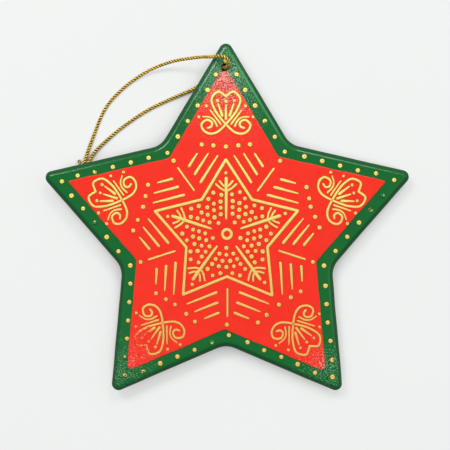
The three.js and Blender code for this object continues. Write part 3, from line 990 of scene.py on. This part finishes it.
class BuildBoard(bpy.types.Operator):
    """Build the lacquered board with its sanded edges and drilled hole"""

    bl_idname = "ornament.board"
    bl_label = "Star board"

    outline_step = 0.0011
    # how far the sanded edge is uneven, how finely, and the seed
    sanding = (0.00009, 140, 2.5)
    edge_steps = 9
    edge_fade = 4
    support = 0.0001
    hole_steps = 32
    hole_chamfer = 0.00007

    def execute(self, context):
        sizes = context.scene.ornament_star
        colours = context.scene.ornament_paint
        corners = board_corners(sizes, [-reach for reach in BOARD_EDGES])
        radii = [sizes.valley_round if i % 2 else sizes.tip_round for i in range(len(corners))]
        outline = hand_made(rounded_outline(corners, radii, self.outline_step), *self.sanding)
        levels = self.edge_levels(sizes)
        bm = bmesh.new()
        mark = bm.verts.layers.float.new("edge")
        board = loft(bm, [outline_ring(outline, inset, height) for inset, height in levels])
        half = sizes.thickness / 2
        # each ring marks how far round the edge it lies; the lacquer uses the mark for a duller
        # rim, painted shade round the rim and a painted sheen on one shoulder
        for ring, (_, height) in zip(board, levels):
            for vert in ring:
                vert[mark] = 1 - ((height - half) / half) ** self.edge_fade
        hole = loft(bm, self.hole_rings(sizes))
        wall = set(bm.faces[:])
        fill(bm, board[0], hole[0])
        fill(bm, board[-1], hole[-1])
        for ring in (hole[0], hole[-1]):
            for edge in ring_edges(bm, ring):
                edge.smooth = False
        inside = {vert for ring in hole for vert in ring}
        for face in wall:
            if all(vert in inside for vert in face.verts):
                face.material_index = 1
        mesh = finish_mesh("star_board_lacquered", bm)
        mesh.transform(star_place())
        mesh.materials.append(
            shared("green_lacquer_skin", lacquer, colours.green, colours.green_glint_grain))
        mesh.materials.append(shared("drilled_wood", hole_wall_wood))
        add_piece(mesh.name, mesh, ["star_board"])
        return {"FINISHED"}

    def edge_levels(self, sizes):
        """Inset and height of each step round the sanded edge, from back to front."""
        flat = sizes.edge_round + self.support
        levels = [(flat, 0.0)]
        angles = [math.pi / 2 * k / self.edge_steps for k in range(self.edge_steps + 1)]
        for angle in angles:
            levels.append((sizes.edge_round * (1 - math.sin(angle)),
                           sizes.edge_round * (1 - math.cos(angle))))
        for angle in angles:
            levels.append((sizes.edge_round * (1 - math.cos(angle)),
                           sizes.thickness - sizes.edge_round * (1 - math.sin(angle))))
        levels.append((flat, sizes.thickness))
        return levels

    def hole_rings(self, sizes):
        """Rings down the hole from back to front, with broken edges."""
        radius = sizes.hole_diameter / 2
        chamfer = self.hole_chamfer
        levels = ((radius + chamfer, 0.0), (radius, chamfer),
                  (radius, sizes.thickness - chamfer), (radius + chamfer, sizes.thickness))
        rings = []
        for reach, height in levels:
            ring = []
            for k in range(self.hole_steps):
                around = polar(reach, 2 * math.pi * k / self.hole_steps)
                ring.append((sizes.hole_sideways + around.x, sizes.hole_up + around.y, height))
            rings.append(ring)
        return rings


class BuildRedField(bpy.types.Operator):
    """Build the red film inside the green border, masked by hand"""

    bl_idname = "ornament.red_field"
    bl_label = "Red field"

    tip_rounds = (0.0004, 0.0003, 0.0012, 0.0012, 0.0003)
    valley_round = 0.0017
    outline_step = 0.0007
    # how far the masked edge is uneven, how finely, and the seed
    masking = (0.00016, 260, 7.5)
    shoulder = 0.00012
    # steps round the shoulder: inset and drop as shares of it
    shoulder_steps = ((0.0, 1.0), (0.3, 0.3), (1.0, 0.0), (1.6, 0.0))
    hole_clearance = 0.00016
    hole_arc_steps = 14

    def execute(self, context):
        sizes = context.scene.ornament_star
        colours = context.scene.ornament_paint
        corners = board_corners(sizes, RED_BORDERS)
        radii = [self.valley_round if i % 2 else self.tip_rounds[i // 2]
                 for i in range(len(corners))]
        outline = hand_made(rounded_outline(corners, radii, self.outline_step), *self.masking)
        outline = self.clear_of_hole(outline, sizes)
        levels = [(0.0, RED_BASE * MM)]
        for inset, drop in self.shoulder_steps:
            levels.append((self.shoulder * inset, sizes.red_top - self.shoulder * drop))
        bm = bmesh.new()
        rings = loft(bm, [outline_ring(outline, inset, height) for inset, height in levels])
        fill(bm, rings[0])
        fill(bm, rings[-1])
        mesh = finish_mesh("red_field_film", bm)
        mesh.transform(star_place())
        mesh.materials.append(shared("red_lacquer_skin", lacquer, colours.red, colours.red_glint_grain))
        add_piece(mesh.name, mesh, ["red_field"])
        return {"FINISHED"}

    def clear_of_hole(self, outline, sizes):
        """The outline with its tip cut back round the hanging hole."""
        centre = Vector((sizes.hole_sideways, sizes.hole_up))
        reach = sizes.hole_diameter / 2 + self.hole_clearance
        outside = [(point - centre).length > reach for point, _ in outline]
        if all(outside):
            return outline
        first = next(i for i in range(len(outline)) if outside[i - 1] and not outside[i])
        turned = outline[first:] + outline[:first]
        clear = [row for row in turned if (row[0] - centre).length > reach]
        start, end = clear[-1][0] - centre, clear[0][0] - centre
        sweep = start.angle_signed(end)
        if sweep > 0:
            sweep -= 2 * math.pi
        arc = []
        for k in range(1, self.hole_arc_steps):
            out = Matrix.Rotation(-sweep * k / self.hole_arc_steps, 2) @ start.normalized()
            arc.append((centre + out * reach, out))
        return clear + arc


class BuildStarLine(bpy.types.Operator):
    """Build the gold star line and the ring at its centre"""

    bl_idname = "ornament.star_line"
    bl_label = "Gold star line and ring"

    # places across the line, from edge to edge, and how steep its flanks are
    section = (-1.0, -0.75, -0.25, 0.25, 0.75, 1.0)
    flank = 4
    sunk = 0.00005
    corner_round = 0.1
    ring_steps = 40
    weld = 1e-7

    def execute(self, context):
        relief = context.scene.ornament_star.relief
        half = STAR_LINE_WIDTH / 2
        corners = star_corners(STAR_LINE_TIP, STAR_LINE_VALLEY)
        for i, shift in enumerate(TIP_SHIFTS):
            corners[2 * i] += Vector(shift)

        def star_ring(offset):
            """The star line's middle, moved outwards."""
            moved = inset_corners(corners, [-offset] * len(corners))
            radii = [self.corner_round + max(0.0, -offset if i % 2 else offset)
                     for i in range(len(corners))]
            return [point for point, _ in rounded_outline(moved, radii, STAR_LINE_TIP)]

        self.band("gold_star_line_raised", star_ring, half, relief, ["gold_star_line"])
        ring_half = (RING_RADII[1] - RING_RADII[0]) / 2
        middle = (RING_RADII[0] + RING_RADII[1]) / 2

        def circle(offset):
            """The ring's middle, moved outwards."""
            return [polar(middle + offset, 2 * math.pi * k / self.ring_steps)
                    for k in range(self.ring_steps)]

        self.band("gold_centre_ring_raised", circle, ring_half, relief, ["gold_centre_ring"])
        return {"FINISHED"}

    def band(self, name, ring_at, half, relief, nodes):
        """A closed line of paint, domed across its width."""
        bm = bmesh.new()
        mark = bm.verts.layers.float.new("across")
        rings = []
        for share in self.section:
            height = GOLD_ON_RED + half * relief * min(1, self.flank * (1 - abs(share)))
            rings.append([(p.x * MM, p.y * MM, height * MM) for p in ring_at(half * share)])
        foot = GOLD_ON_RED * MM - self.sunk
        under, beyond = ([(x, y, foot) for x, y, _ in ring] for ring in (rings[0], rings[-1]))
        made = loft(bm, [under, *rings, beyond, under])
        marks = [1.0, *(abs(share) for share in self.section), 1.0, 1.0]
        for ring, value in zip(made, marks):
            for vert in ring:
                vert[mark] = value
        bmesh.ops.remove_doubles(bm, verts=bm.verts, dist=self.weld)
        mesh = finish_mesh(name, bm)
        mesh.transform(star_place())
        mesh.materials.append(gold_on_red())
        add_piece(name, mesh, nodes)


def build_lines(name, lines, nodes, shifts=((0, 0),)):
    """Raised lines of one kind in place of their CAD nodes, with a copy for each shift."""
    tree = bpy.data.node_groups.get("Gold line relief") or line_tree()
    host = line_mesh(name + "_drawn", lines, GOLD_ON_RED)
    values = {shift_label(i): (x * MM, y * MM, 0.0) for i, (x, y) in enumerate(shifts)}
    mesh = grown(name, host, tree, {
        "Relief": bpy.context.scene.ornament_star.relief, "Copies": len(shifts),
        "Material": gold_on_red(), **values})
    outwards(mesh)
    mesh.transform(star_place())
    add_piece(name, mesh, nodes)


class BuildHearts(bpy.types.Operator):
    """Build the gold scroll hearts with the strokes in and beside them"""

    bl_idname = "ornament.hearts"
    bl_label = "Gold scroll hearts"

    def execute(self, context):
        heart = [(x, y + HEART_FOOT) for x, y in HEART]
        lines = [drawn_line(line, HEART_LINE) for line in both_sides(heart)]
        build_lines("gold_hearts_raised", lines, nodes_named("gold_heart_"), HEART_SHIFTS)
        strokes = [drawn_line(*HEART_MIDDLE_STROKE)]
        for points, start_width, end_width in HEART_STROKES:
            strokes += [drawn_line(side, start_width, end_width) for side in both_sides(points)]
        build_lines("gold_heart_strokes", strokes, [], HEART_SHIFTS)
        return {"FINISHED"}


class BuildStrokes(bpy.types.Operator):
    """Build the gold strokes, rays and sprigs round the gold star"""

    bl_idname = "ornament.strokes"
    bl_label = "Gold strokes, rays and sprigs"

    def execute(self, context):
        strokes = []
        for arm, fans in enumerate(STROKE_FANS):
            turn = arm_turn(arm)
            for side, fan in zip((-1, 1), fans):
                for points in side_strokes(fan):
                    placed = [turn @ Vector((side * p.x, p.y)) + Vector(STROKE_SHIFTS[arm])
                              for p in points]
                    strokes.append(drawn_line(placed, *STROKE_WIDTHS))
        build_lines("gold_strokes_raised", strokes, nodes_named("gold_stroke_"))
        ray = [tuple(polar(reach, HALF_ARM)) for reach in RAY]
        build_lines("gold_rays_raised", [drawn_line(ray, RAY_WIDTH)], nodes_named("gold_ray_"),
                    RAY_SHIFTS)
        sprig = [drawn_line(*SPRIG)]
        for twig in TWIGS:
            sprig += [drawn_line(side, TWIG_WIDTH) for side in both_sides(twig)]
        build_lines("gold_sprigs_raised", sprig, nodes_named("gold_sprig_"), SPRIG_SHIFTS)
        return {"FINISHED"}


class BuildDots(bpy.types.Operator):
    """Build the gold dots of the field, the arms and the border"""

    bl_idname = "ornament.dots"
    bl_label = "Gold dots"

    # reach, height and place across the paint, from the dimple to the foot
    rings = ((0.0, 0.62, -1.0), (0.24, 0.74, -0.6), (0.42, 1.0, 0.0), (0.66, 0.92, 0.5),
             (0.84, 0.6, 0.76), (1.0, 0.02, 1.0), (1.0, -0.3, 1.0))
    sides = 12

    def execute(self, context):
        colours = context.scene.ornament_paint
        on_green = shared(
            "gold_paint_on_green", gold_paint, colours.gold, colours.dull_gold, colours.green)
        drop = self.drop()
        field = self.field_spots()
        self.scatter(context, "gold_dots_on_red", field, GOLD_ON_RED, drop, gold_on_red())
        border = self.border_spots()
        self.scatter(context, "gold_dots_on_border", border, GOLD_ON_GREEN, drop, on_green)
        bpy.data.objects.remove(drop)
        return {"FINISHED"}

    def drop(self):
        """One drop of paint of unit radius: a low dome that dried with a dimple."""
        bm = bmesh.new()
        mark = bm.verts.layers.float.new("across")
        side = bm.verts.layers.float.new("side")
        tip = bm.verts.new((0, 0, self.rings[0][1]))
        tip[mark] = self.rings[0][2]
        angles = [2 * math.pi * k / self.sides for k in range(self.sides)]
        made = loft(bm, [[(*polar(reach, angle), height) for angle in angles]
                         for reach, height, _ in self.rings[1:]])
        for ring, (_, _, across) in zip(made, self.rings[1:]):
            for vert in ring:
                vert[mark] = across
                vert[side] = vert.co.x
        for i in range(self.sides):
            bm.faces.new((tip, made[0][i - 1], made[0][i]))
        bm.faces.new(made[-1])
        return put_in_scene("gold_drop", finish_mesh("gold_drop", bm))

    def field_spots(self):
        """Dots on the red field: x, y, radius and wear."""
        spots = []
        for arm in range(ARMS):
            turn = arm_turn(arm)
            for x, y, radius in ARM_SPOTS:
                shift = Vector((HEART_SHIFTS if y > HEART_FOOT else ROW_SHIFTS)[arm])
                for side in left_and_right(x):
                    slide = 0.0
                    if STAR_LINE_TIP < y < HEART_FOOT:
                        slide = ROW_SLIDES[arm][1 + (side > 0) - (side < 0)]
                    place = turn @ Vector((side + slide, y)) + shift
                    spots.append((*place, radius, 0.0))
            between = 2 * HALF_ARM * arm + HALF_ARM
            spots.append((*polar(VALLEY_SPOT[0], between), VALLEY_SPOT[1], 0.0))
            for reach, angles in FIELD_SPOTS:
                for angle in angles:
                    for side in left_and_right(angle):
                        place = polar(reach, between + math.radians(side))
                        place += Vector(FIELD_SHIFTS[arm])
                        spots.append((*place, FIELD_SPOT, 0.0))
        return spots

    def border_spots(self):
        """Dots on the green border, from the tip with the hole clockwise."""
        corners = star_corners(BORDER_TIP, BORDER_VALLEY)
        spots = []
        for i, corner in enumerate(corners):
            after = corners[(i + 1) % len(corners)]
            for k in range(BORDER_GAPS):
                place = corner.lerp(after, k / BORDER_GAPS) + Vector(BORDER_SHIFTS[i])
                place += Vector(STRAY_SPOTS.get(len(spots), (0, 0)))
                spots.append((*place, BORDER_SPOT, WORN_SPOTS.get(len(spots), 0.0)))
        return spots

    def scatter(self, context, name, spots, height, drop, material):
        """Grows drops of paint at some spots, as one piece."""
        tree = bpy.data.node_groups.get("Gold dots") or spot_tree()
        host = bpy.data.meshes.new(name + "_marks")
        host.from_pydata([(x * MM, y * MM, height * MM) for x, y, _, _ in spots], [], [])
        for label, column, unit in (("spot_radius", 2, MM), ("worn", 3, 1.0)):
            values = [spot[column] * unit for spot in spots]
            host.attributes.new(label, "FLOAT", "POINT").data.foreach_set("value", values)
        mesh = grown(name, host, tree, {
            "Drop": drop, "Relief": context.scene.ornament_star.spot_relief,
            "Material": material})
        mesh.transform(star_place())
        add_piece(name, mesh)


def cord_mesh(name, route):
    """A twisted cord along a route in metres."""
    sizes = bpy.context.scene.ornament_cord
    colours = bpy.context.scene.ornament_paint
    tree = bpy.data.node_groups.get("Twisted cord") or cord_tree()
    mesh = grown(name, path_mesh(name + "_path", route), tree, {
        "Diameter": sizes.diameter, "Plies": sizes.plies, "Lay": sizes.lay,
        "Ply radius": sizes.diameter * PLY_SHARE, "Core radius": sizes.diameter * CORE_SHARE,
        "Material": shared("twisted_cord", cord_finish, colours.foil, colours.core)})
    outwards(mesh)
    return mesh


def route_in_frame(points):
    """Route points from the star's centre, in millimetres, as places in the row frame."""
    centre = star_place().translation
    return [Vector((centre.x + x * MM, centre.y + y * MM, z * MM)) for x, y, z in points]


class BuildKnot(bpy.types.Operator):
    """Build the knot that ties the cord's two ends, with their cut tails"""

    bl_idname = "ornament.knot"
    bl_label = "Cord knot"

    # threads through the knot, along its heading, across and up, in millimetres
    through = ((1.75, 0.42, -0.1), (0.6, 0.24, 0.0), (-0.7, 0.18, 0.0), (-1.35, 0.3, 0.05))
    tail = ((1.55, 0.95, -0.3), (2.0, 1.6, -0.55), (2.68, 2.3, -0.62))
    second = ((1.75, -0.42, -0.1), (0.6, -0.24, 0.0), (-0.7, -0.18, 0.0), (-1.5, -0.15, -0.15),
              (-2.3, -0.3, -0.5), (-3.1, -0.1, -0.63), (-3.9, 0.2, -0.64))
    # where the wraps begin along the heading, how far they go, and points in a turn
    wrap_start = -0.9
    wrap_length = 1.8
    steps_a_turn = 8

    def execute(self, context):
        wraps = []
        steps = KNOT_TURNS * self.steps_a_turn
        for k in range(steps + 1):
            share = k / steps
            angle = 2 * math.pi * KNOT_TURNS * share
            wraps.append((self.wrap_start + self.wrap_length * share,
                          KNOT_WRAP_RADIUS * math.cos(angle),
                          KNOT_WRAP_RADIUS * math.sin(angle)))
        turn = Matrix.Rotation(KNOT_HEADING, 3, "Z")
        bm = bmesh.new()
        for points in (self.through + tuple(wraps) + self.tail, self.second):
            placed = [turn @ Vector(p) + Vector(KNOT_CENTRE) for p in points]
            path = smooth_path(route_in_frame(placed), CORD_STEP * MM)
            bm.from_mesh(cord_mesh("cord_knot_turn", path))
        mesh = bpy.data.meshes.new("cord_knot_tied")
        bm.to_mesh(mesh)
        bm.free()
        mesh.shade_smooth()
        mesh.materials.append(bpy.data.materials["twisted_cord"])
        add_piece(mesh.name, mesh, ["cord_knot"])
        return {"FINISHED"}


class BuildCord(bpy.types.Operator):
    """Build the two strands of the hanging cord, from the hole to the knot"""

    bl_idname = "ornament.cord"
    bl_label = "Hanging cord"

    def execute(self, context):
        strands = (
            ("cord_over_front", FRONT_ROUTE, ["cord_front_strand", "cord_through_hole"]),
            ("cord_under_back", BACK_ROUTE, ["cord_back_strand"]),
        )
        for name, points, nodes in strands:
            route = smooth_path(route_in_frame(points), CORD_STEP * MM)
            strand = add_piece(name, cord_mesh(name, route), nodes)
        return {"FINISHED"}


class BuildStage(bpy.types.Operator):
    """Build the pale table, the camera and the soft light"""

    bl_idname = "ornament.stage"
    bl_label = "Table, camera and light"

    table_half = 12.0
    sensor = 36.0
    nearest_seen = 0.01
    off_centre = (-0.36 * MM, 2.47 * MM)
    front_height = 7 * MM
    # name, place, size and power
    lamps = (
        ("softbox_north_west", (-0.4, 0.55, 1.1), 0.4, 7.7),
        ("softbox_north", (0.2, 0.65, 1.1), 0.3, 4.2),
        ("softbox_east", (0.8, 0.05, 1.0), 0.9, 1.5),
        ("window_above", (0.054, 0.125, 1.0), 0.045, 0.06),
        ("window_corner", (-0.04, -0.165, 1.0), 0.03, 0.015),
    )
    room_tint = (0.97, 1.0, 0.985, 1.0)
    # the room's light by direction: dim low down, bright half way up, dark overhead, less from
    # the near side, and a pale horizon
    sky_bands = (("Z", 0.45, 0.75, 0.35, 1.0), ("Z", 0.9, 0.97, 1.0, 0.12),
                 ("Y", -0.5, 0.3, 0.15, 1.05))
    horizon = (0.02, 0.12, 0.84, 0.0)

    def execute(self, context):
        scene = context.scene
        self.table(scene.ornament_paint.floor)
        scene.camera = self.camera(scene.ornament_stage)
        for lamp in self.lamps:
            self.light(*lamp)
        scene.world = self.room(scene.ornament_stage.world_strength)
        scene.view_settings.view_transform = "Standard"
        return {"FINISHED"}

    def table(self, colour):
        """A table so wide that its edge is out of sight."""
        bm = bmesh.new()
        bmesh.ops.create_grid(bm, x_segments=1, y_segments=1, size=self.table_half)
        mesh = finish_mesh("pale_table", bm)
        mesh.materials.append(shared("pale_table", pale_table, colour))
        table = put_in_scene("pale_table", mesh)

    def camera(self, stage):
        """Looks straight down at the star, with the arm that has the hole at the top."""
        centre = star_place().translation
        data = bpy.data.cameras.new("photo_camera")
        data.sensor_width = self.sensor
        data.lens = self.sensor * stage.view_distance / stage.view_width
        data.clip_start = self.nearest_seen
        camera = put_in_scene("photo_camera", data)
        camera.location = (centre.x + self.off_centre[0], centre.y + self.off_centre[1],
                           self.front_height + stage.view_distance)
        return camera

    def light(self, name, place, size, power):
        """A round lamp that points at the star."""
        lamp = bpy.data.lights.new(name, "AREA")
        lamp.shape = "DISK"
        lamp.size = size
        lamp.energy = power
        holder = put_in_scene(name, lamp)
        holder.location = place
        holder.rotation_euler = (-Vector(place)).to_track_quat("-Z", "Y").to_euler()

    def room(self, level):
        """The even light from all round, brighter from some directions."""
        world = bpy.data.worlds.new("room")
        world.use_nodes = True
        background = world.node_tree.nodes["Background"]
        background.inputs["Color"].default_value = self.room_tint
        sky = Wiring(world.node_tree)
        towards = sky.add("ShaderNodeSeparateXYZ", {
            0: sky.add("ShaderNodeTexCoord").outputs["Generated"]})
        for axis, *band in self.sky_bands:
            level = sky.math("MULTIPLY", sky.span(towards.outputs[axis], *band), level)
        level = sky.math("MAXIMUM", level, sky.span(towards.outputs["Z"], *self.horizon))
        sky.tree.links.new(level, background.inputs["Strength"])
        return world


class OrnamentPanel(bpy.types.Panel):
    """Lists the ornament's pieces and sizes"""

    bl_idname = "VIEW3D_PT_ornament"
    bl_label = "Wooden star ornament"
    bl_space_type = "VIEW_3D"
    bl_region_type = "UI"
    bl_category = "Ornament"

    def draw(self, context):
        column = self.layout.column(align=True)
        for builder in BUILDERS:
            column.operator(builder.bl_idname)
        for label in GROUPS:
            group = getattr(context.scene, label)
            box = self.layout.box()
            for key in group.bl_rna.properties.keys():
                if key not in ("rna_type", "name"):
                    box.prop(group, key)


GROUPS = {
    "ornament_star": StarSizes,
    "ornament_cord": CordSizes,
    "ornament_paint": PaintColours,
    "ornament_stage": StageSizes,
}
BUILDERS = (BuildStage, BuildKnot, BuildCord, BuildBoard, BuildRedField, BuildStarLine,
            BuildHearts, BuildStrokes, BuildDots)


def register():
    """Makes the classes known to Blender and gives the scene its sizes and colours."""
    for cls in (*GROUPS.values(), *BUILDERS, OrnamentPanel):
        bpy.utils.register_class(cls)
    for label, group in GROUPS.items():
        setattr(bpy.types.Scene, label, PointerProperty(type=group))


def unregister():
    """Takes the classes and the scene's sizes and colours away again."""
    for label in GROUPS:
        delattr(bpy.types.Scene, label)
    for cls in reversed((*GROUPS.values(), *BUILDERS, OrnamentPanel)):
        bpy.utils.unregister_class(cls)


def main():
    """Builds the stage and every piece in order."""
    register()
    for builder in BUILDERS:
        group, name = builder.bl_idname.split(".")
        getattr(getattr(bpy.ops, group), name)()


if __name__ == "__main__":
    main()
